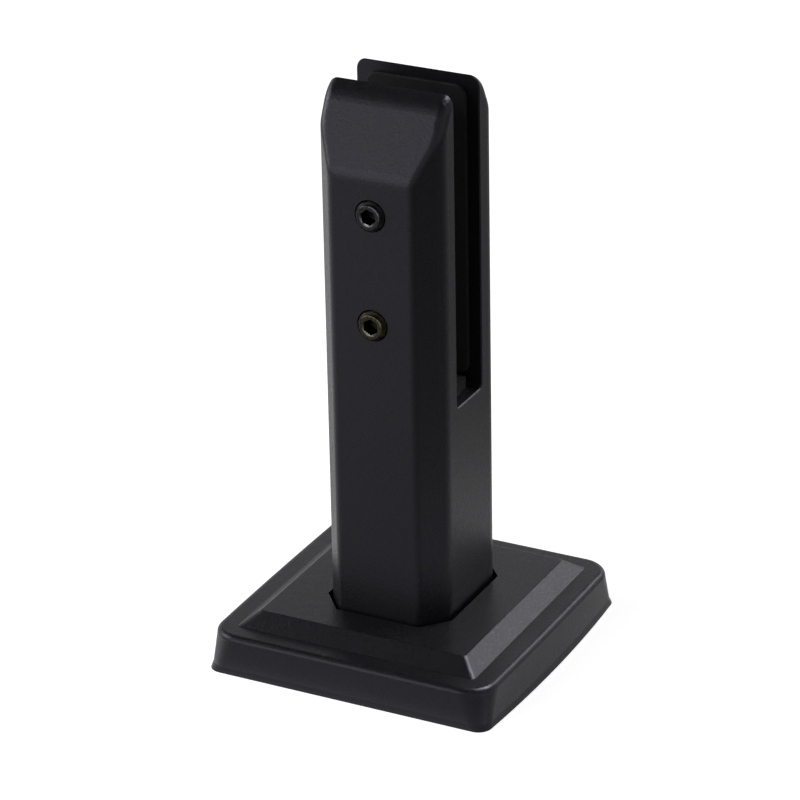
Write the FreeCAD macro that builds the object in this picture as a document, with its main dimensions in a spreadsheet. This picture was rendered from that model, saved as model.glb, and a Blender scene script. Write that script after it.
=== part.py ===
import FreeCAD, Part
import math
import os

import Sketcher

# Driving dimensions in millimetres. The origin is the middle of the foot, +Z is up,
# the set screws are on the -Y face and the slot runs along X.
SIZES = {
    # Drawn cover over the foot
    "foot_side": 105.0,
    "foot_corner": 4.9,
    "foot_bow": 1.85,
    "lip_side": 104.3,
    "lip_corner": 6.2,
    "lip_bow": 1.4,
    "lip_height": 2.2,
    "wall_side": 104.2,
    "wall_corner": 10.4,
    "wall_bow": 0.35,
    "wall_height": 12.0,
    "cover_sheet": 1.2,
    "shoulder_radius": 2.2,
    "ledge_height": 14.4,
    "bevel_foot": 88.8,
    "bevel_top": 76.9,
    "cover_height": 19.1,
    "bevel_corner": 1.6,
    "bevel_soften": 0.7,
    "post_gap": 1.2,
    # Cast body: anchor plate and post
    "plate_side": 98.0,
    "plate_height": 8.0,
    "plate_corner": 6.0,
    "anchor_spacing": 70.0,
    "anchor_hole": 11.0,
    "post_width": 44.6,
    "post_depth": 51.5,
    "post_height": 204.6,
    "chamfer_across": 7.35,
    "chamfer_along": 8.55,
    "side_edge_radius": 7.0,
    "edge_radius": 3.5,
    "root_size": 3.0,
    "slope_start": 177.5,
    "slope_setback": 13.5,
    "bend_radius": 10.0,
    "crown_radius": 12.0,
    # Slot for the glass
    "slot_width": 18.6,
    "slot_floor": 93.6,
    "floor_radius": 1.5,
    "slot_soften": 0.4,
    # Set screws and their threaded holes
    "screw_diameter": 10.0,
    "screw_length": 20.0,
    "screw_chamfer": 1.0,
    "screw_proud": 1.5,
    "screw_clearance": 0.1,
    "socket_flats": 5.0,
    "socket_depth": 5.0,
    "socket_mouth": 6.2,
    "socket_mouth_depth": 0.9,
    "hole_mouth": 0.5,
    "upper_screw_height": 164.4,
    "lower_screw_height": 126.0,
    # Pads that hold the glass
    "pad_width": 36.0,
    "pad_bottom": 98.1,
    "pad_top": 200.0,
    "pad_corner": 4.0,
    "gasket_thickness": 1.5,
    "pressure_plate_thickness": 2.5,
    "pad_soften": 0.3,
    "tip_gap": 0.05,
    "block_depth": 14.8,
    "block_height": 4.0,
    "block_corner": 2.0,
}
# How far the upper screw's hexagon is turned, in degrees
UPPER_SCREW_TURN = 14.0
ANCHOR_COUNT = 4
FULL_TURN = 360.0
# Share by which the cut of the sloped tops runs past the post
OVERSHOOT = 0.2
# Distances that count as the same place, and as clearly inside, when edges are picked
NEAR = 1e-4
CLEAR = 1.0

doc = FreeCAD.newDocument("glass_spigot")
sheet = doc.addObject("Spreadsheet::Sheet", "dims")
for row, (alias, size) in enumerate(SIZES.items(), start=1):
    sheet.set(f"A{row}", alias)
    sheet.set(f"B{row}", str(size))
    sheet.setAlias(f"B{row}", alias)
doc.recompute()


class Size:
    """A length that carries both its value and the sheet formula that gives it."""

    def __init__(self, value, formula):
        self.value = value
        self.formula = formula

    def __add__(self, other):
        return Size(self.value + as_size(other).value, f"({self.formula} + {as_size(other).formula})")

    def __sub__(self, other):
        return Size(self.value - as_size(other).value, f"({self.formula} - {as_size(other).formula})")

    def __mul__(self, other):
        return Size(self.value * as_size(other).value, f"({self.formula} * {as_size(other).formula})")

    def __truediv__(self, other):
        return Size(self.value / as_size(other).value, f"({self.formula} / {as_size(other).formula})")

    def __neg__(self):
        return Size(-self.value, f"(-1 * {self.formula})")

    def root(self):
        return Size(math.sqrt(self.value), f"sqrt({self.formula})")


def as_size(value):
    """Turns a plain number into a Size."""
    return value if isinstance(value, Size) else Size(value, repr(float(value)))


def dim(alias):
    """The named driving dimension."""
    return Size(SIZES[alias], f"dims.{alias}")


def bind(item, path, size):
    """Ties one property of an object to the sheet."""
    item.setExpression(path, size.formula)


# Sketch and feature helpers


def new_body(name):
    body = doc.addObject("PartDesign::Body", name)
    body.Label = name
    return body


def new_sketch(body, name, role, offset=None):
    """A sketch on one of the body's own origin planes, moved along the plane's normal by offset."""
    sketch = body.newObject("Sketcher::SketchObject", name)
    plane = next(item for item in body.Origin.OriginFeatures if item.Role == role)
    sketch.AttachmentSupport = [(plane, "")]
    sketch.MapMode = "FlatFace"
    if offset is not None:
        sketch.AttachmentOffset = FreeCAD.Placement(FreeCAD.Vector(0, 0, offset.value), FreeCAD.Rotation())
        bind(sketch, "AttachmentOffset.Base.z", offset)
    return sketch


def hold(sketch, kind, size, *targets):
    """Adds a dimension to a sketch and ties it to the sheet."""
    index = sketch.addConstraint(Sketcher.Constraint(kind, *targets, size.value))
    bind(sketch, f"Constraints[{index}]", size)


def hold_point(sketch, geometry, point, x, y):
    """Fixes a point by its two distances from the sketch's origin."""
    origin = (-1, 1)
    axes = {"DistanceX": (x, -2), "DistanceY": (y, -1)}
    for kind, (size, axis) in axes.items():
        if abs(size.value) < NEAR:
            sketch.addConstraint(Sketcher.Constraint("PointOnObject", geometry, point, axis))
        else:
            hold(sketch, kind, size, *origin, geometry, point)


def arc_between(start, end, radius):
    """A counter-clockwise arc that bulges to the right of the way from start to end."""
    chord = end - start
    half = chord.Length / 2
    rise = radius - math.sqrt(max(radius * radius - half * half, 0.0))
    outward = FreeCAD.Vector(chord.y, -chord.x, 0).normalize()
    return Part.Arc(start, (start + end) / 2 + outward * rise, end)


def add_edges(sketch, points, radii):
    """Adds a closed chain of edges. radii gives the radius of each edge that is round."""
    for edge, start in enumerate(points):
        end = points[(edge + 1) % len(points)]
        if edge in radii:
            sketch.addGeometry(arc_between(start, end, radii[edge].value))
        else:
            sketch.addGeometry(Part.LineSegment(start, end))


def draw_loop(sketch, corners, arcs=None):
    """Draws a closed counter-clockwise loop. arcs gives the radius of each edge that is round."""
    arcs = arcs or {}
    first = sketch.GeometryCount
    count = len(corners)
    corners = [(as_size(x), as_size(y)) for x, y in corners]
    add_edges(sketch, [FreeCAD.Vector(x.value, y.value, 0) for x, y in corners], arcs)
    for edge in range(count):
        previous = first + (edge - 1) % count
        sketch.addConstraint(Sketcher.Constraint("Coincident", previous, 2, first + edge, 1))
        hold_point(sketch, first + edge, 1, *corners[edge])
    for edge, radius in arcs.items():
        hold(sketch, "Radius", radius, first + edge)


def draw_rounded_box(sketch, left, bottom, right, top, corner):
    """Draws a rectangle with round corners."""
    corners = [
        (left + corner, bottom), (right - corner, bottom), (right, bottom + corner), (right, top - corner),
        (right - corner, top), (left + corner, top), (left, top - corner), (left, bottom + corner),
    ]
    draw_loop(sketch, corners, {edge: corner for edge in (1, 3, 5, 7)})


def draw_circle(sketch, x, y, radius):
    middle = FreeCAD.Vector(x.value, y.value, 0)
    circle = sketch.addGeometry(Part.Circle(middle, FreeCAD.Vector(0, 0, 1), radius.value))
    hold_point(sketch, circle, 3, x, y)
    hold(sketch, "Radius", radius, circle)


def new_feature(body, kind, name, profile):
    feature = body.newObject(f"PartDesign::{kind}", name)
    feature.Profile = profile
    return feature


def add_pad(body, name, sketch, length):
    pad = new_feature(body, "Pad", name, sketch)
    bind(pad, "Length", length)
    return pad


def cut_through(body, name, sketch, side_type="Symmetric", reverse=False):
    """Cuts a sketch through everything, both ways or one way."""
    pocket = new_feature(body, "Pocket", name, sketch)
    pocket.Type = "ThroughAll"
    pocket.SideType = side_type
    pocket.Reversed = reverse
    return pocket


def add_loft(body, kind, name, sketches):
    """A loft through the sketches, straight between them."""
    loft = new_feature(body, kind, name, sketches[0])
    loft.Sections = sketches[1:]
    loft.Ruled = True
    return loft


def edges_where(feature, wanted):
    """The names of a feature's edges that pass a test."""
    doc.recompute()
    return [f"Edge{number}" for number, edge in enumerate(feature.Shape.Edges, start=1) if wanted(edge)]


def soften(body, kind, name, base, edges, size):
    """A fillet or chamfer on the given edges of a feature."""
    feature = body.newObject(f"PartDesign::{kind}", name)
    feature.Base = (base, edges)
    bind(feature, "Radius" if kind == "Fillet" else "Size", size)
    return feature


def span(edge, axis):
    """The lowest and highest place of an edge along an axis."""
    box = edge.BoundBox
    return {"x": (box.XMin, box.XMax), "y": (box.YMin, box.YMax), "z": (box.ZMin, box.ZMax)}[axis]


def lies_at(edge, axis, place):
    """Whether a whole edge lies at one place along an axis."""
    return all(abs(end - place) < NEAR for end in span(edge, axis))


# Cast body


def draw_post_section(sketch, grow=0.0):
    """The post's chamfered section, grown outwards by an even gap."""
    side = dim("post_width") / 2
    face = dim("post_depth") / 2
    corner_x = side - dim("chamfer_across") + chamfer_shift("chamfer_across", "chamfer_along", grow)
    corner_y = face - dim("chamfer_along") + chamfer_shift("chamfer_along", "chamfer_across", grow)
    side = side + grow
    face = face + grow
    draw_loop(sketch, [
        (-corner_x, -face), (corner_x, -face), (side, -corner_y), (side, corner_y),
        (corner_x, face), (-corner_x, face), (-side, corner_y), (-side, -corner_y),
    ])


def chamfer_shift(own, other, grow):
    """How far a chamfer's end moves along its face when the section grows."""
    across = dim(own)
    along = dim(other)
    slant = (across * across + along * along).root()
    return (slant - across) / along * grow


def make_spigot_body():
    body = new_body("spigot_body")
    half_plate = dim("plate_side") / 2
    plate_sketch = new_sketch(body, "plate_outline", "XY_Plane")
    draw_rounded_box(plate_sketch, -half_plate, -half_plate, half_plate, half_plate, dim("plate_corner"))
    add_pad(body, "anchor_plate", plate_sketch, dim("plate_height"))

    post_sketch = new_sketch(body, "post_section", "XY_Plane")
    draw_post_section(post_sketch)
    post = add_pad(body, "post", post_sketch, dim("post_height"))
    side_place = SIZES["post_width"] / 2
    side_edges = edges_where(post, lambda edge: climbs(edge) and is_at_either(edge, "x", side_place))
    soften(body, "Fillet", "side_edges", post, side_edges, dim("side_edge_radius"))

    slope_sketch = new_sketch(body, "jaw_slopes", "YZ_Plane")
    half_depth = dim("post_depth") / 2
    rise = dim("post_height") - dim("slope_start")
    low_y = half_depth + dim("slope_setback") * OVERSHOOT
    low_z = dim("slope_start") - rise * OVERSHOOT
    high_y = half_depth - dim("slope_setback") * (1 + OVERSHOOT)
    high_z = dim("post_height") + rise * OVERSHOOT
    draw_loop(slope_sketch, [(-low_y, low_z), (-high_y, high_z), (-low_y, high_z)])
    draw_loop(slope_sketch, [(low_y, low_z), (low_y, high_z), (high_y, high_z)])
    slopes = cut_through(body, "sloped_tops", slope_sketch)

    bend_edges = edges_where(slopes, lambda edge: lies_at(edge, "z", SIZES["slope_start"]))
    bends = soften(body, "Fillet", "soft_bends", slopes, bend_edges, dim("bend_radius"))
    crown_place = SIZES["post_depth"] / 2 - SIZES["slope_setback"]
    crown_edges = edges_where(bends, lambda edge: lies_at(edge, "z", SIZES["post_height"])
                              and is_at_either(edge, "y", crown_place))
    crown = soften(body, "Fillet", "crowned_top", bends, crown_edges, dim("crown_radius"))

    face_place = SIZES["post_depth"] / 2
    outer_edges = edges_where(crown, lambda edge: climbs(edge) and is_at_either(edge, "y", face_place))
    rounded = soften(body, "Fillet", "rounded_edges", crown, outer_edges, dim("edge_radius"))

    plate_top = SIZES["plate_height"]
    half_plate_side = SIZES["plate_side"] / 2
    root_edges = edges_where(rounded, lambda edge: lies_at(edge, "z", plate_top)
                             and max(map(abs, span(edge, "x") + span(edge, "y"))) < half_plate_side - CLEAR)
    soften(body, "Chamfer", "cast_root", rounded, root_edges, dim("root_size"))

    slot_sketch = new_sketch(body, "slot_profile", "YZ_Plane")
    half_slot = dim("slot_width") / 2
    floor = dim("slot_floor")
    radius = dim("floor_radius")
    draw_loop(slot_sketch, [
        (-half_slot + radius, floor), (half_slot - radius, floor), (half_slot, floor + radius),
        (half_slot, high_z), (-half_slot, high_z), (-half_slot, floor + radius),
    ], {1: radius, 5: radius})
    slot = cut_through(body, "glass_slot", slot_sketch)

    half_slot_width = SIZES["slot_width"] / 2
    end_edges = edges_where(slot, lambda edge: borders_slot_mouth(edge, half_slot_width))
    soften(body, "Chamfer", "slot_edges", slot, end_edges, dim("slot_soften"))

    hole_sketch = new_sketch(body, "set_screw_places", "XZ_Plane")
    hole_radius = dim("screw_diameter") / 2 + dim("screw_clearance")
    for height in ("lower_screw_height", "upper_screw_height"):
        draw_circle(hole_sketch, as_size(0), dim(height), hole_radius)
    holes = cut_through(body, "set_screw_holes", hole_sketch, "One side", True)
    mouths = edges_where(holes, lambda edge: lies_at(edge, "y", -face_place) and len(edge.Vertexes) == 1)
    soften(body, "Chamfer", "hole_mouths", holes, mouths, dim("hole_mouth"))

    anchor_sketch = new_sketch(body, "anchor_place", "XY_Plane")
    half_spacing = dim("anchor_spacing") / 2
    draw_circle(anchor_sketch, half_spacing, half_spacing, dim("anchor_hole") / 2)
    anchor = cut_through(body, "anchor_hole", anchor_sketch, "One side", True)
    pattern = body.newObject("PartDesign::PolarPattern", "anchor_holes")
    pattern.Originals = [anchor]
    pattern.Axis = (anchor_sketch, ["N_Axis"])
    pattern.Angle = FULL_TURN
    pattern.Occurrences = ANCHOR_COUNT
    body.Tip = pattern
    return body


def climbs(edge):
    """Whether an edge runs up the post, past the height of the plate."""
    low, high = span(edge, "z")
    return high > SIZES["plate_height"] + CLEAR and high - low > NEAR


def is_at_either(edge, axis, place):
    """Whether a whole edge lies at one distance from the middle, on either side."""
    return lies_at(edge, axis, place) or lies_at(edge, axis, -place)


def borders_slot_mouth(edge, half_slot_width):
    """Whether an edge runs round the slot's open ends and top, on the slot's two long walls."""
    on_wall = lies_at(edge, "y", half_slot_width) or lies_at(edge, "y", -half_slot_width)
    floor_line = span(edge, "z")[1] < SIZES["slot_floor"] + SIZES["floor_radius"] + NEAR
    return on_wall and not floor_line


# Drawn cover


def draw_bowed_box(sketch, half, corner, bow):
    """Draws a square with round corners, whose two sides across X bow outwards. All its edges are tangent."""
    flat = half - corner
    bow_radius = (flat * flat + bow * bow) / (bow * 2)
    bow_centre = half + bow - bow_radius
    far = half.value
    near = flat.value
    turns = [
        (-near, -far), (near, -far), (far, -near), (far, near),
        (near, far), (-near, far), (-far, near), (-far, -near),
    ]
    radii = {edge: corner for edge in (1, 3, 5, 7)}
    radii.update({edge: bow_radius for edge in (2, 6)})
    count = len(turns)
    add_edges(sketch, [FreeCAD.Vector(x, y, 0) for x, y in turns], radii)
    for edge in range(count):
        sketch.addConstraint(Sketcher.Constraint("Tangent", edge, 2, (edge + 1) % count, 1))
    for edge, radius in radii.items():
        hold(sketch, "Radius", radius, edge)
    for line, place in ((0, -half), (4, half)):
        sketch.addConstraint(Sketcher.Constraint("Horizontal", line))
        hold(sketch, "DistanceY", place, -1, 1, line, 1)
    for edge, centre in ((2, bow_centre), (6, -bow_centre)):
        hold_point(sketch, edge, 3, centre, as_size(0))


def make_base_cover():
    body = new_body("base_cover")
    sheet_size = dim("cover_sheet")
    ledge = dim("ledge_height")
    wall_height = dim("wall_height")

    def outline(name, level, height, inset):
        """The wall's outline of one level, drawn at that height and moved inwards by inset."""
        sketch = new_sketch(body, name, "XY_Plane", height)
        half = dim(f"{level}_side") / 2 - inset
        draw_bowed_box(sketch, half, dim(f"{level}_corner") - inset, dim(f"{level}_bow"))
        return sketch

    def raised_sections(name, draw, inset, drop):
        """The bevel's outline at its foot and at the flat top, moved inwards by inset and down by drop."""
        levels = (("foot", "bevel_foot", "ledge_height"), ("top", "bevel_top", "cover_height"))
        sketches = []
        for level, side, height in levels:
            sketch = new_sketch(body, f"{name}_{level}", "XY_Plane", dim(height) - drop)
            draw(sketch, dim(side) / 2 - inset)
            sketches.append(sketch)
        return sketches

    def draw_soft_square(sketch, half):
        draw_rounded_box(sketch, -half, -half, half, half, dim("bevel_corner"))

    def draw_square(sketch, half):
        draw_loop(sketch, [(-half, -half), (half, -half), (half, half), (-half, half)])

    ground = as_size(0)
    no_inset = as_size(0)
    no_drop = as_size(0)
    wall_outlines = [
        outline("foot_outline", "foot", ground, no_inset),
        outline("lip_outline", "lip", dim("lip_height"), no_inset),
        outline("wall_outline", "wall", wall_height, no_inset),
    ]
    add_loft(body, "AdditiveLoft", "drawn_wall", wall_outlines)
    rim = add_pad(body, "rim", wall_outlines[-1], ledge - wall_height)
    rim_edges = edges_where(rim, lambda edge: lies_at(edge, "z", SIZES["ledge_height"]))
    soften(body, "Fillet", "rounded_shoulder", rim, rim_edges, dim("shoulder_radius"))
    bevel_outlines = raised_sections("bevel_outline", draw_soft_square, no_inset, no_drop)
    raised = add_loft(body, "AdditiveLoft", "raised_top", bevel_outlines)

    bevel_edges = edges_where(raised, lambda edge: lies_at(edge, "z", SIZES["cover_height"])
                              or is_bevel_foot(edge))
    soften(body, "Fillet", "soft_bevel", raised, bevel_edges, dim("bevel_soften"))

    hollow_outlines = [
        outline("hollow_foot", "lip", ground, sheet_size),
        outline("hollow_end", "wall", wall_height, sheet_size),
    ]
    add_loft(body, "SubtractiveLoft", "wall_hollow", hollow_outlines)
    rim_hollow = new_feature(body, "Pocket", "rim_hollow", hollow_outlines[-1])
    rim_hollow.Reversed = True
    bind(rim_hollow, "Length", ledge - sheet_size - wall_height)
    run = (dim("bevel_foot") - dim("bevel_top")) / 2
    rise = dim("cover_height") - ledge
    inset = ((run * run + rise * rise).root() - run) / rise * sheet_size
    raised_hollow_outlines = raised_sections("raised_hollow_outline", draw_square, inset, sheet_size)
    add_loft(body, "SubtractiveLoft", "raised_hollow", raised_hollow_outlines)

    opening_sketch = new_sketch(body, "post_opening", "XY_Plane")
    draw_post_section(opening_sketch, dim("post_gap"))
    body.Tip = cut_through(body, "opening", opening_sketch)
    return body


def is_bevel_foot(edge):
    """Whether an edge is part of the line where the bevel rises from the ledge."""
    reach = max(map(abs, span(edge, "x") + span(edge, "y")))
    return lies_at(edge, "z", SIZES["ledge_height"]) and reach < SIZES["bevel_foot"] / 2 + NEAR


# Set screws


def make_set_screw(name, height_alias, turn):
    """A set screw built upright with its socket on top, then laid along Y with the socket outwards."""
    body = new_body(name)
    radius = dim("screw_diameter") / 2
    length = dim("screw_length")
    chamfer = dim("screw_chamfer")
    profile = new_sketch(body, f"{name}_profile", "XZ_Plane")
    draw_loop(profile, [(0, 0), (radius - chamfer, 0), (radius, chamfer), (radius, length - chamfer),
                        (radius - chamfer, length), (0, length)])
    shank = new_feature(body, "Revolution", f"{name}_shank", profile)
    shank.ReferenceAxis = (profile, ["V_Axis"])
    shank.Angle = FULL_TURN

    mouth_profile = new_sketch(body, f"{name}_mouth_profile", "XZ_Plane")
    mouth_bottom = length - dim("socket_mouth_depth")
    draw_loop(mouth_profile, [(0, mouth_bottom), (dim("socket_mouth") / 2, length), (0, length)])
    mouth = new_feature(body, "Groove", f"{name}_mouth", mouth_profile)
    mouth.ReferenceAxis = (mouth_profile, ["V_Axis"])
    mouth.Angle = FULL_TURN

    socket_sketch = new_sketch(body, f"{name}_hexagon", "XY_Plane", length)
    half_flats = dim("socket_flats") / 2
    point = dim("socket_flats") / math.sqrt(3)
    draw_loop(socket_sketch, [(0, -point), (half_flats, -point / 2), (half_flats, point / 2), (0, point),
                              (-half_flats, point / 2), (-half_flats, -point / 2)])
    socket = new_feature(body, "Pocket", f"{name}_socket", socket_sketch)
    bind(socket, "Length", dim("socket_depth"))
    body.Tip = socket

    laid = FreeCAD.Rotation(FreeCAD.Vector(1, 0, 0), 90)
    turned = FreeCAD.Rotation(FreeCAD.Vector(0, 0, 1), turn)
    body.Placement = FreeCAD.Placement(FreeCAD.Vector(), laid * turned)
    tip_y = length - dim("post_depth") / 2 - dim("screw_proud")
    bind(body, "Placement.Base.y", tip_y)
    bind(body, "Placement.Base.z", dim(height_alias))
    return body


# Pads in the slot


def make_flat(name, back_y, thickness):
    """A body and a flat piece with round corners that stands in the slot, its rear face at back_y."""
    body = new_body(name)
    half = dim("pad_width") / 2
    sketch = new_sketch(body, f"{name}_outline", "XZ_Plane", -back_y)
    draw_rounded_box(sketch, -half, dim("pad_bottom"), half, dim("pad_top"), dim("pad_corner"))
    return body, add_pad(body, f"{name}_flat", sketch, thickness)


def make_pressure_plate(back_y):
    """A punched plate with plain edges."""
    body, plate = make_flat("pressure_plate", back_y, dim("pressure_plate_thickness"))
    body.Tip = plate
    return body


def make_gasket(name, back_y):
    """A moulded rubber pad with soft edges."""
    body, pad = make_flat(name, back_y, dim("gasket_thickness"))
    flat_edges = edges_where(pad, lies_on_flat)
    body.Tip = soften(body, "Chamfer", f"{name}_edges", pad, flat_edges, dim("pad_soften"))
    return body


def lies_on_flat(edge):
    """Whether an edge lies in one plane across Y."""
    low, high = span(edge, "y")
    return high - low < NEAR


def make_setting_block():
    """A block cut from rubber strip."""
    body = new_body("setting_block")
    half_width = dim("pad_width") / 2
    half_depth = dim("block_depth") / 2
    sketch = new_sketch(body, "block_outline", "XY_Plane", dim("slot_floor"))
    draw_rounded_box(sketch, -half_width, -half_depth, half_width, half_depth, dim("block_corner"))
    body.Tip = add_pad(body, "block", sketch, dim("block_height"))
    return body


rear_wall = dim("slot_width") / 2
screw_tip = dim("screw_length") - dim("post_depth") / 2 - dim("screw_proud")
plate_back = screw_tip + dim("tip_gap") + dim("pressure_plate_thickness")

parts = [
    make_spigot_body(),
    make_base_cover(),
    make_set_screw("upper_set_screw", "upper_screw_height", UPPER_SCREW_TURN),
    make_set_screw("lower_set_screw", "lower_screw_height", 0.0),
    make_pressure_plate(plate_back),
    make_gasket("front_gasket", plate_back + dim("gasket_thickness")),
    make_gasket("rear_gasket", rear_wall),
    make_setting_block(),
]
doc.recompute()

for item in doc.Objects:
    if "Invalid" in item.State or "Error" in item.State:
        raise RuntimeError(f"{item.Label} failed: {item.State}")
for part in parts:
    if part.Shape.isNull() or not part.Shape.isValid() or len(part.Shape.Solids) != 1:
        raise RuntimeError(f"{part.Label} is not one valid solid")

os.makedirs("parts", exist_ok=True)
for part in parts:
    part.Shape.exportStep(f"parts/{part.Label}.step")
    print(part.Label, f"{part.Shape.Volume:.0f} mm3", part.Shape.BoundBox)
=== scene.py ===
import math

import bpy
from mathutils import Matrix, Vector


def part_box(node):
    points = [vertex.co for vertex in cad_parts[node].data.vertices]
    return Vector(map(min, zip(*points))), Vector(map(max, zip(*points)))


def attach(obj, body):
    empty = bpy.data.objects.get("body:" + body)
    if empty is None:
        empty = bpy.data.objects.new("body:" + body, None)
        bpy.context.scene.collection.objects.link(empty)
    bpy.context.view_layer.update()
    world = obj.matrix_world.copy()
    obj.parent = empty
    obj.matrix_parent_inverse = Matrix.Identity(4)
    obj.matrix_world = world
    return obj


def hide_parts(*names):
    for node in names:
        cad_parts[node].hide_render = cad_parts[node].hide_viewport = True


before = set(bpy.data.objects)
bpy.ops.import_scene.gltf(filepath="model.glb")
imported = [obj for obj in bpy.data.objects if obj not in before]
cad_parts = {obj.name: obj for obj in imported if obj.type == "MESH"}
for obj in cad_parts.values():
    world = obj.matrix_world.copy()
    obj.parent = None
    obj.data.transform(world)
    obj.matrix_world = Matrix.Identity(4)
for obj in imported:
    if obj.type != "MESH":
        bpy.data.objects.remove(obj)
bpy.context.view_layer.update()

MM = 0.001
UP = Vector((0.0, 0.0, 1.0))
FRONT = Vector((0.0, -1.0, 0.0))
WHITE = (1.0, 1.0, 1.0, 1.0)

# Camera fitted to the photograph, which is 800 pixels wide, with its angles in degrees
IMAGE_WIDTH = 800
FOCAL_PIXELS = 3952.23
SENSOR_WIDTH = 36.0
CAMERA_AZIMUTH = 27.34
CAMERA_ELEVATION = 24.94
CAMERA_ROLL = -1.1
CAMERA_DISTANCE = 1322.1 * MM
CAMERA_TARGET = Vector((-3.76, 0.0, 87.82)) * MM
CAMERA_CLIP_START = 50 * MM

# Set screws: M10 with a hexagon socket, laid along Y with the socket on the -Y face
THREAD_PITCH = 1.5 * MM
THREAD_RADIUS = 4.97 * MM
THREAD_DEPTH = 0.92 * MM
SCREW_FACE_RADIUS = 4.0 * MM
SOCKET_MOUTH_RADIUS = 3.1 * MM
SOCKET_MOUTH_DEPTH = 0.9 * MM
SOCKET_HALF_FLATS = 2.5 * MM
SOCKET_DEPTH = 5.0 * MM
SOCKET_POINT_DEPTH = 6.2 * MM
CUP_RADIUS = 2.8 * MM
CUP_DEPTH = 1.0 * MM
CONE_END_RADIUS = 0.02 * MM
SCREW_SEGMENTS = 96
STEPS_PER_PITCH = 14
SHARP_ANGLE = 32

# Hexagons' turns in degrees, counter-clockwise from a point at the top, seen from the front
UPPER_SCREW_TURN = 14.0
LOWER_SCREW_TURN = 0.0

# Wear of the screws' black oxide, with painted glints towards one side, in degrees clockwise from the top
WEAR_SOCKET = 0.05
WEAR_MOUTH = 0.07
WEAR_FACE = 0.06
WEAR_THREAD = 0.01
WEAR_TIP = 0.4
WEAR_CUP = 0.1
# Painted glints: bright metal added towards one side of the socket's edge, its mouth and the face's rim
SOCKET_GLINT_SIDE = 205.0
SOCKET_EDGE_GLINT = 0.8
MOUTH_GLINT = 0.6
EDGE_GLINT_SIDE = 35.0
FACE_GLINT = 0.2
EDGE_GLINT = 0.9
GLINT_FOCUS = 3
SOCKET_WEAR_AND_GLINT_DEPTH = 0.35 * MM
MOUTH_WEAR_AND_GLINT_WIDTH = 0.25 * MM
EDGE_WEAR_AND_GLINT_WIDTH = 0.2 * MM

# Linear colours of the materials
COAT_DARK = (0.0072, 0.0072, 0.0085)
COAT_LIGHT = (0.0086, 0.0085, 0.0098)
COAT_SHEEN = (0.84, 0.82, 1.0, 1.0)
# Screws: a dark oxide colour, and a bright colour for wear and painted glints
UPPER_SCREW_DARK = (0.008, 0.008, 0.009)
UPPER_SCREW_WORN_AND_GLINT = (0.32, 0.32, 0.33)
LOWER_SCREW_DARK = (0.012, 0.0115, 0.006)
LOWER_SCREW_WORN_AND_GLINT = (0.34, 0.33, 0.24)
RUBBER_DARK = (0.008, 0.008, 0.0085)
RUBBER_LIGHT = (0.012, 0.012, 0.0125)
STAINLESS_DARK = (0.42, 0.42, 0.41)
STAINLESS_LIGHT = (0.58, 0.58, 0.57)
FLOOR_COLOUR = (0.8, 0.8, 0.8, 1.0)

# Floor: its glow to the view, and in reflections around the object, to the left and before the cover
FLOOR_REACH = 3.0
FLOOR_LEVEL = -0.2 * MM
FLOOR_ROUGHNESS = 0.9
FLOOR_GLOW_SEEN = 0.8
POOL_GLOW_MIRRORED = 0.51
POOL_MIDDLE = (0.015, 0.005, 0.0)
POOL_START = 0.06
POOL_END = 0.2
LEFT_GLOW_MIRRORED = 0.4
LEFT_WAY = (-0.958, -0.287, 0.0)
LEFT_START = -0.15
LEFT_END = 0.25
STRIP_GLOW_MIRRORED = 1.4
STRIP_START = 0.045
STRIP_EDGE = 0.053
STRIP_END = 0.062

# World: its light on the object, and how reflections see the horizon, the ceiling and a softbox overhead
WORLD_FILL = 0.14
HORIZON_MIRRORED = 1.0
HORIZON_END = 0.25
CEILING_MIRRORED = 0.1
CEILING_START = 0.8
OVERHEAD_MIRRORED = 20.0
OVERHEAD_WAY = Vector((0.376, 0.33, 0.861)).normalized()
OVERHEAD_START = math.cos(math.radians(20))
OVERHEAD_END = math.cos(math.radians(12))

# Softboxes: where each stands and points, its width and height in metres, and its watts
OBJECT_MIDDLE = (0.0, 0.0, 0.09)
SOFTBOXES = {
    "left": {"place": (-0.55, -0.17, 0.35), "target": OBJECT_MIDDLE, "size": (0.35, 0.35), "watts": 2.2},
    "front": {"place": (-0.66, -1.3, 0.6), "target": (0.0, 0.0, 0.35), "size": (0.8, 1.1), "watts": 6.0},
    "back_right": {"place": (0.5, 1.25, 0.85), "target": OBJECT_MIDDLE, "size": (0.6, 0.5), "watts": 4.5},
}


# Node helpers for the materials


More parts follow.
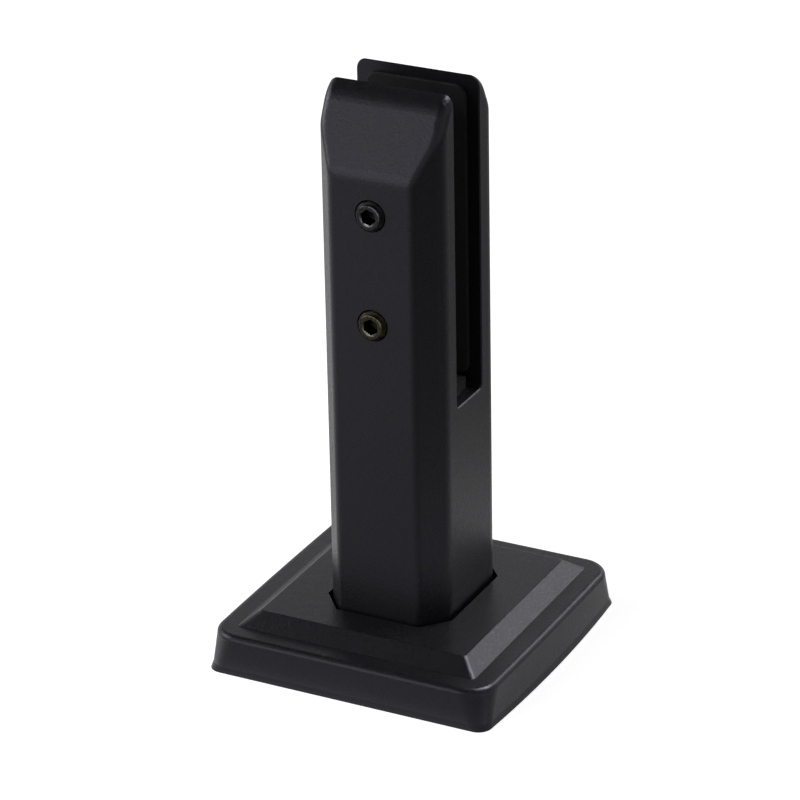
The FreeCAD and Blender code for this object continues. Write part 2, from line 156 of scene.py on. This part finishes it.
class Shader:
    """Builds one procedural material around its Principled shader."""

    def __init__(self, name, **constants):
        self.material = bpy.data.materials.new(name)
        self.material.use_nodes = True
        self.tree = self.material.node_tree
        self.surface = self.tree.nodes["Principled BSDF"]
        for socket, value in constants.items():
            self.surface.inputs[socket.replace("_", " ")].default_value = value
        self.place = self.add("ShaderNodeTexCoord").outputs["Object"]

    def add(self, kind, **settings):
        node = self.tree.nodes.new(kind)
        for key, value in settings.items():
            setattr(node, key, value)
        return node

    def link(self, source, target):
        self.tree.links.new(source, target)

    def noise(self, width, detail, stretch=None):
        """Noise whose grains are about that many metres wide, scaled by stretch along each axis."""
        node = self.add("ShaderNodeTexNoise")
        node.inputs["Scale"].default_value = 1.0 / width
        node.inputs["Detail"].default_value = detail
        place = self.place
        if stretch:
            mapping = self.add("ShaderNodeMapping")
            mapping.inputs["Scale"].default_value = stretch
            self.link(place, mapping.inputs["Vector"])
            place = mapping.outputs["Vector"]
        self.link(place, node.inputs["Vector"])
        return node.outputs["Fac"]

    def spread(self, source, low, high, start=0.3, end=0.7):
        """A number that goes from low to high while the source goes from start to end."""
        node = self.add("ShaderNodeMapRange")
        for socket, value in (("From Min", start), ("From Max", end), ("To Min", low), ("To Max", high)):
            node.inputs[socket].default_value = value
        self.link(source, node.inputs["Value"])
        return node.outputs["Result"]

    def colours(self, source, dark, light, start=0.3, end=0.7):
        """A colour that goes from dark to light while the source goes from start to end."""
        node = self.add("ShaderNodeValToRGB")
        for element, place, colour in zip(node.color_ramp.elements, (start, end), (dark, light)):
            element.position = place
            element.color = (*colour, 1.0)
        self.link(source, node.inputs["Fac"])
        return node.outputs["Color"]

    def bump(self, *layers):
        """Stacks bumps of (height source, depth in metres)."""
        normal = None
        for height, depth in layers:
            node = self.add("ShaderNodeBump")
            node.inputs["Strength"].default_value = 1.0
            node.inputs["Distance"].default_value = depth
            self.link(height, node.inputs["Height"])
            if normal:
                self.link(normal, node.inputs["Normal"])
            normal = node.outputs["Normal"]
        self.link(normal, self.surface.inputs["Normal"])

    def feed(self, socket, source):
        self.link(source, self.surface.inputs[socket])


def powder_coat():
    """Black powder coat: a fine even grain over a slow orange-peel swell."""
    shader = Shader("powder_coat", Specular_IOR_Level=0.24, Specular_Tint=COAT_SHEEN)
    grain = shader.noise(width=0.7 * MM, detail=2.0)
    peel = shader.noise(width=3.5 * MM, detail=1.0)
    cloud = shader.noise(width=28 * MM, detail=2.0)
    shader.feed("Base Color", shader.colours(cloud, COAT_DARK, COAT_LIGHT))
    shader.feed("Roughness", shader.spread(grain, low=0.27, high=0.41))
    shader.bump((peel, 0.03 * MM), (grain, 0.06 * MM))
    return shader.material


def screw_steel(name, dark, worn_and_glint):
    """Black-oxide steel with bright metal where a key has rubbed and, from the same mesh value, painted
    glints on its edges.
    """
    shader = Shader(name, Metallic=1.0)
    wear_and_glint_patches = shader.noise(width=0.8 * MM, detail=3.0)
    turning = shader.noise(width=0.25 * MM, detail=2.0, stretch=(1.0, 6.0, 1.0))
    # The mesh value mixes even wear with painted glints towards one side
    wear_and_glint = shader.add("ShaderNodeAttribute", attribute_name="wear_and_glint").outputs["Fac"]
    wear_and_glint_here = shader.add("ShaderNodeMath", operation="MULTIPLY")
    shader.link(wear_and_glint, wear_and_glint_here.inputs[0])
    shader.link(shader.spread(wear_and_glint_patches, low=0.25, high=1.0, start=0.35, end=0.6), wear_and_glint_here.inputs[1])
    shader.feed("Base Color", shader.colours(wear_and_glint_here.outputs["Value"], dark, worn_and_glint, start=0.0, end=1.0))
    shader.feed("Roughness", shader.spread(turning, low=0.26, high=0.46))
    shader.bump((turning, 0.008 * MM))
    return shader.material


def black_rubber():
    """Matt EPDM with a faint calendered grain."""
    shader = Shader("black_rubber", Specular_IOR_Level=0.15)
    grain = shader.noise(width=0.3 * MM, detail=3.0)
    dust = shader.noise(width=6 * MM, detail=3.0)
    shader.feed("Base Color", shader.colours(dust, RUBBER_DARK, RUBBER_LIGHT, end=0.75))
    shader.feed("Roughness", shader.spread(grain, low=0.62, high=0.85))
    shader.bump((grain, 0.02 * MM))
    return shader.material


def stainless_steel():
    """Rolled stainless strip with its long grain up the plate."""
    shader = Shader("stainless_steel", Metallic=1.0)
    lines = shader.noise(width=0.4 * MM, detail=3.0, stretch=(1.0, 1.0, 0.03))
    shader.feed("Base Color", shader.colours(lines, STAINLESS_DARK, STAINLESS_LIGHT))
    shader.feed("Roughness", shader.spread(lines, low=0.25, high=0.42))
    shader.bump((lines, 0.006 * MM))
    return shader.material


# Set screws with their threads


def thread_depth_at(turn_share):
    """How deep below its crest the thread is, at a share of one pitch."""
    crest, flank, root = 0.125, 0.3125, 0.25
    share = turn_share % 1.0
    if share < crest:
        return 0.0
    if share < crest + flank:
        return THREAD_DEPTH * (share - crest) / flank
    if share < crest + flank + root:
        return THREAD_DEPTH
    return THREAD_DEPTH * (1.0 - share) / flank


def hexagon_radius(angle):
    """The distance from the socket's middle to its wall, with a point at angle 0."""
    sixth = math.pi / 3
    return SOCKET_HALF_FLATS / math.cos(angle % sixth - sixth / 2)


def value_at(value, angle):
    """The value itself, or what it gives at the angle if it is a function."""
    return value(angle) if callable(value) else value


def make_screw(name, node, turn):
    """A threaded set screw in the place of its CAD node, with its hexagon turned."""
    low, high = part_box(node)
    length = high.y - low.y
    face_middle = Vector(((low.x + high.x) / 2, low.y, (low.z + high.z) / 2))
    hexagon_start = -math.radians(turn)
    angles = [2 * math.pi * step / SCREW_SEGMENTS + hexagon_start for step in range(SCREW_SEGMENTS)]

    points = []
    wear_and_glint = []

    def add_ring(radius, depth, worn_and_glint, glint=0.0, glint_side=0.0):
        """A ring of points, whose radius and depth are numbers or functions of the angle."""
        first = len(points)
        for angle in angles:
            reach = value_at(radius, angle)
            place = Vector((math.sin(angle) * reach, value_at(depth, angle), math.cos(angle) * reach))
            points.append(place + face_middle)
            # A painted glint: brighter towards one side of the ring
            towards_glint = max(0.0, math.cos(angle - math.radians(glint_side)))
            wear_and_glint.append(worn_and_glint + glint * towards_glint ** GLINT_FOCUS)
        return first

    def wall_radius(depth, angle):
        thread = THREAD_RADIUS - thread_depth_at(depth / THREAD_PITCH - angle / (2 * math.pi))
        return min(thread, SCREW_FACE_RADIUS + min(depth, length - depth))

    def hexagon(angle):
        return hexagon_radius(angle - hexagon_start)

    def mouth_depth(angle):
        return SOCKET_MOUTH_DEPTH * (1.0 - hexagon(angle) / SOCKET_MOUTH_RADIUS)

    def wear_and_glint_depth(angle):
        return mouth_depth(angle) + SOCKET_WEAR_AND_GLINT_DEPTH

    # Wear along the rings, with painted glints on the socket's edge and mouth and on the face's rim
    rings = [
        add_ring(CONE_END_RADIUS, SOCKET_POINT_DEPTH, 0.0),
        add_ring(hexagon, SOCKET_DEPTH, 0.0),
        add_ring(hexagon, wear_and_glint_depth, WEAR_SOCKET),
        add_ring(hexagon, mouth_depth, WEAR_MOUTH, SOCKET_EDGE_GLINT, SOCKET_GLINT_SIDE),
        add_ring(SOCKET_MOUTH_RADIUS, 0.0, WEAR_MOUTH, MOUTH_GLINT, SOCKET_GLINT_SIDE),
        add_ring(SOCKET_MOUTH_RADIUS + MOUTH_WEAR_AND_GLINT_WIDTH, 0.0, WEAR_FACE),
        add_ring(SCREW_FACE_RADIUS - EDGE_WEAR_AND_GLINT_WIDTH, 0.0, WEAR_FACE, FACE_GLINT, EDGE_GLINT_SIDE),
        add_ring(SCREW_FACE_RADIUS, 0.0, WEAR_FACE, EDGE_GLINT, EDGE_GLINT_SIDE),
    ]
    steps = round(length / THREAD_PITCH * STEPS_PER_PITCH)
    for step in range(1, steps):
        depth = length * step / steps
        rings.append(add_ring(lambda angle: wall_radius(depth, angle), depth, WEAR_THREAD))
    rings += [
        add_ring(SCREW_FACE_RADIUS, length, WEAR_TIP),
        add_ring(CUP_RADIUS, length, WEAR_TIP),
        add_ring(CONE_END_RADIUS, length - CUP_DEPTH, WEAR_CUP),
    ]

    faces = []
    for first, second in zip(rings, rings[1:]):
        for step in range(SCREW_SEGMENTS):
            following = (step + 1) % SCREW_SEGMENTS
            faces.append((first + step, first + following, second + following, second + step))
    faces.append(tuple(rings[0] + step for step in reversed(range(SCREW_SEGMENTS))))
    faces.append(tuple(rings[-1] + step for step in range(SCREW_SEGMENTS)))

    mesh = bpy.data.meshes.new(name)
    mesh.from_pydata(points, [], faces)
    mesh.attributes.new("wear_and_glint", "FLOAT", "POINT").data.foreach_set("value", wear_and_glint)
    mesh.shade_smooth()
    mesh.set_sharp_from_angle(angle=math.radians(SHARP_ANGLE))
    screw = bpy.data.objects.new(name, mesh)
    bpy.context.collection.objects.link(screw)
    return screw


# Materials on the CAD nodes, and the threaded screws in place of theirs


def dress(piece, material):
    piece.data.materials.clear()
    piece.data.materials.append(material)


def dress_nodes():
    coat = powder_coat()
    rubber = black_rubber()
    steel = stainless_steel()
    looks = {
        "spigot_body": coat, "base_cover": coat, "pressure_plate": steel,
        "front_gasket": rubber, "rear_gasket": rubber, "setting_block": rubber,
    }
    for node, material in looks.items():
        dress(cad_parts[node], material)

    screws = (
        ("upper_screw", UPPER_SCREW_TURN, UPPER_SCREW_DARK, UPPER_SCREW_WORN_AND_GLINT),
        ("lower_screw", LOWER_SCREW_TURN, LOWER_SCREW_DARK, LOWER_SCREW_WORN_AND_GLINT),
    )
    for body, turn, dark, worn_and_glint in screws:
        node = body.replace("screw", "set_screw")
        screw = make_screw(f"{body}_threaded", node, turn)
        dress(screw, screw_steel(f"{body}_steel", dark, worn_and_glint))
        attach(screw, body)
        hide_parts(node)


# Floor, lights and camera


def either(tree, first, second):
    """1 where either of two values is 1."""
    join = tree.nodes.new("ShaderNodeMath")
    join.operation = "MAXIMUM"
    tree.links.new(first, join.inputs[0])
    tree.links.new(second, join.inputs[1])
    return join.outputs["Value"]


def ray_kinds(tree):
    """Two values: 1 for rays that see the surroundings directly, and 1 for those that see them mirrored."""
    path = tree.nodes.new("ShaderNodeLightPath")
    seen = either(tree, path.outputs["Is Camera Ray"], path.outputs["Is Transmission Ray"])
    return seen, path.outputs["Is Glossy Ray"]


def blend(tree, share, low, high):
    """A number that goes from low to high with the share. Each may be a plain number or a socket."""
    mix = tree.nodes.new("ShaderNodeMix")
    for socket, value in (("Factor", share), ("A", low), ("B", high)):
        if isinstance(value, float):
            mix.inputs[socket].default_value = value
        else:
            tree.links.new(value, mix.inputs[socket])
    return mix.outputs["Result"]


def measure(tree, operation, vector, source="Position"):
    """A number from a fixed vector and the shaded point's place, or another output of its geometry."""
    node = tree.nodes.new("ShaderNodeVectorMath")
    node.operation = operation
    node.inputs[1].default_value = vector
    tree.links.new(tree.nodes.new("ShaderNodeNewGeometry").outputs[source], node.inputs[0])
    return node.outputs["Value"]


def smooth_step(tree, source, start, end):
    """Goes smoothly from 0 at start to 1 at end."""
    node = tree.nodes.new("ShaderNodeMapRange")
    node.interpolation_type = "SMOOTHSTEP"
    node.inputs["From Min"].default_value = start
    node.inputs["From Max"].default_value = end
    tree.links.new(source, node.inputs["Value"])
    return node.outputs["Result"]


def mirrored_floor(tree):
    """The floor's glow in reflections: a pool around the object, the left side and a strip in front."""
    to_left = smooth_step(tree, measure(tree, "DOT_PRODUCT", LEFT_WAY), LEFT_START, LEFT_END)
    from_pool = smooth_step(tree, measure(tree, "DISTANCE", POOL_MIDDLE), POOL_START, POOL_END)
    left = blend(tree, to_left, 0.0, LEFT_GLOW_MIRRORED)
    pool = blend(tree, from_pool, POOL_GLOW_MIRRORED, left)
    forward = measure(tree, "DOT_PRODUCT", FRONT)
    to_strip = smooth_step(tree, forward, STRIP_START, STRIP_EDGE)
    past_strip = smooth_step(tree, forward, STRIP_EDGE, STRIP_END)
    return blend(tree, to_strip, pool, blend(tree, past_strip, STRIP_GLOW_MIRRORED, pool))


def make_floor():
    """A pale floor that stays near white to the view and keeps the object's soft shadow."""
    mesh = bpy.data.meshes.new("floor")
    sides = ((-1, -1), (1, -1), (1, 1), (-1, 1))
    corners = [(x * FLOOR_REACH, y * FLOOR_REACH, FLOOR_LEVEL) for x, y in sides]
    mesh.from_pydata(corners, [], [(0, 1, 2, 3)])
    floor = bpy.data.objects.new("floor", mesh)
    bpy.context.collection.objects.link(floor)
    material = bpy.data.materials.new("pale_floor")
    material.use_nodes = True
    tree = material.node_tree
    surface = tree.nodes["Principled BSDF"]
    surface.inputs["Base Color"].default_value = FLOOR_COLOUR
    surface.inputs["Roughness"].default_value = FLOOR_ROUGHNESS
    surface.inputs["Specular IOR Level"].default_value = 0.0
    surface.inputs["Emission Color"].default_value = WHITE
    seen, mirrored = ray_kinds(tree)
    glow = blend(tree, seen, blend(tree, mirrored, 0.0, mirrored_floor(tree)), FLOOR_GLOW_SEEN)
    tree.links.new(glow, surface.inputs["Emission Strength"])
    mesh.materials.append(material)


def mirrored_sky(tree):
    """The world's glow in reflections: white near the horizon, darker above, with a softbox overhead.

    Incoming points back along the ray, so the ways that it is measured along are turned round.
    """
    height = measure(tree, "DOT_PRODUCT", -UP, "Incoming")
    to_ceiling = smooth_step(tree, height, HORIZON_END, CEILING_START)
    sky = blend(tree, to_ceiling, HORIZON_MIRRORED, CEILING_MIRRORED)
    overhead = measure(tree, "DOT_PRODUCT", -OVERHEAD_WAY, "Incoming")
    to_softbox = smooth_step(tree, overhead, OVERHEAD_START, OVERHEAD_END)
    return blend(tree, to_softbox, sky, OVERHEAD_MIRRORED)


def make_world():
    """White to the view, with a weak even light on the object."""
    world = bpy.data.worlds.new("studio")
    world.use_nodes = True
    bpy.context.scene.world = world
    tree = world.node_tree
    background = tree.nodes["Background"]
    background.inputs["Color"].default_value = WHITE
    seen, mirrored = ray_kinds(tree)
    strength = blend(tree, seen, blend(tree, mirrored, WORLD_FILL, mirrored_sky(tree)), 1.0)
    tree.links.new(strength, background.inputs["Strength"])


def add_softbox(name, place, target, size, watts):
    light = bpy.data.lights.new(name, "AREA")
    light.shape = "RECTANGLE"
    light.size, light.size_y = size
    light.energy = watts
    lamp = bpy.data.objects.new(name, light)
    bpy.context.collection.objects.link(lamp)
    lamp.location = place
    lamp.rotation_euler = (Vector(place) - Vector(target)).to_track_quat("Z", "Y").to_euler()


def make_lights():
    for name, settings in SOFTBOXES.items():
        add_softbox(name, **settings)


def make_camera():
    azimuth = math.radians(CAMERA_AZIMUTH)
    elevation = math.radians(CAMERA_ELEVATION)
    roll = math.radians(CAMERA_ROLL)
    back = Vector((math.sin(azimuth) * math.cos(elevation), -math.cos(azimuth) * math.cos(elevation),
                   math.sin(elevation)))
    right = Vector((math.cos(azimuth), math.sin(azimuth), 0.0))
    up = back.cross(right)
    rolled_right = math.cos(roll) * right + math.sin(roll) * up
    rolled_up = math.cos(roll) * up - math.sin(roll) * right
    data = bpy.data.cameras.new("camera")
    data.sensor_width = SENSOR_WIDTH
    data.lens = FOCAL_PIXELS * SENSOR_WIDTH / IMAGE_WIDTH
    data.clip_start = CAMERA_CLIP_START
    camera = bpy.data.objects.new("camera", data)
    bpy.context.collection.objects.link(camera)
    turn = Matrix((rolled_right, rolled_up, back)).transposed().to_4x4()
    camera.matrix_world = Matrix.Translation(CAMERA_TARGET + back * CAMERA_DISTANCE) @ turn
    bpy.context.scene.camera = camera


bpy.context.scene.view_settings.view_transform = "Standard"
make_camera()
dress_nodes()
make_floor()
make_world()
make_lights()
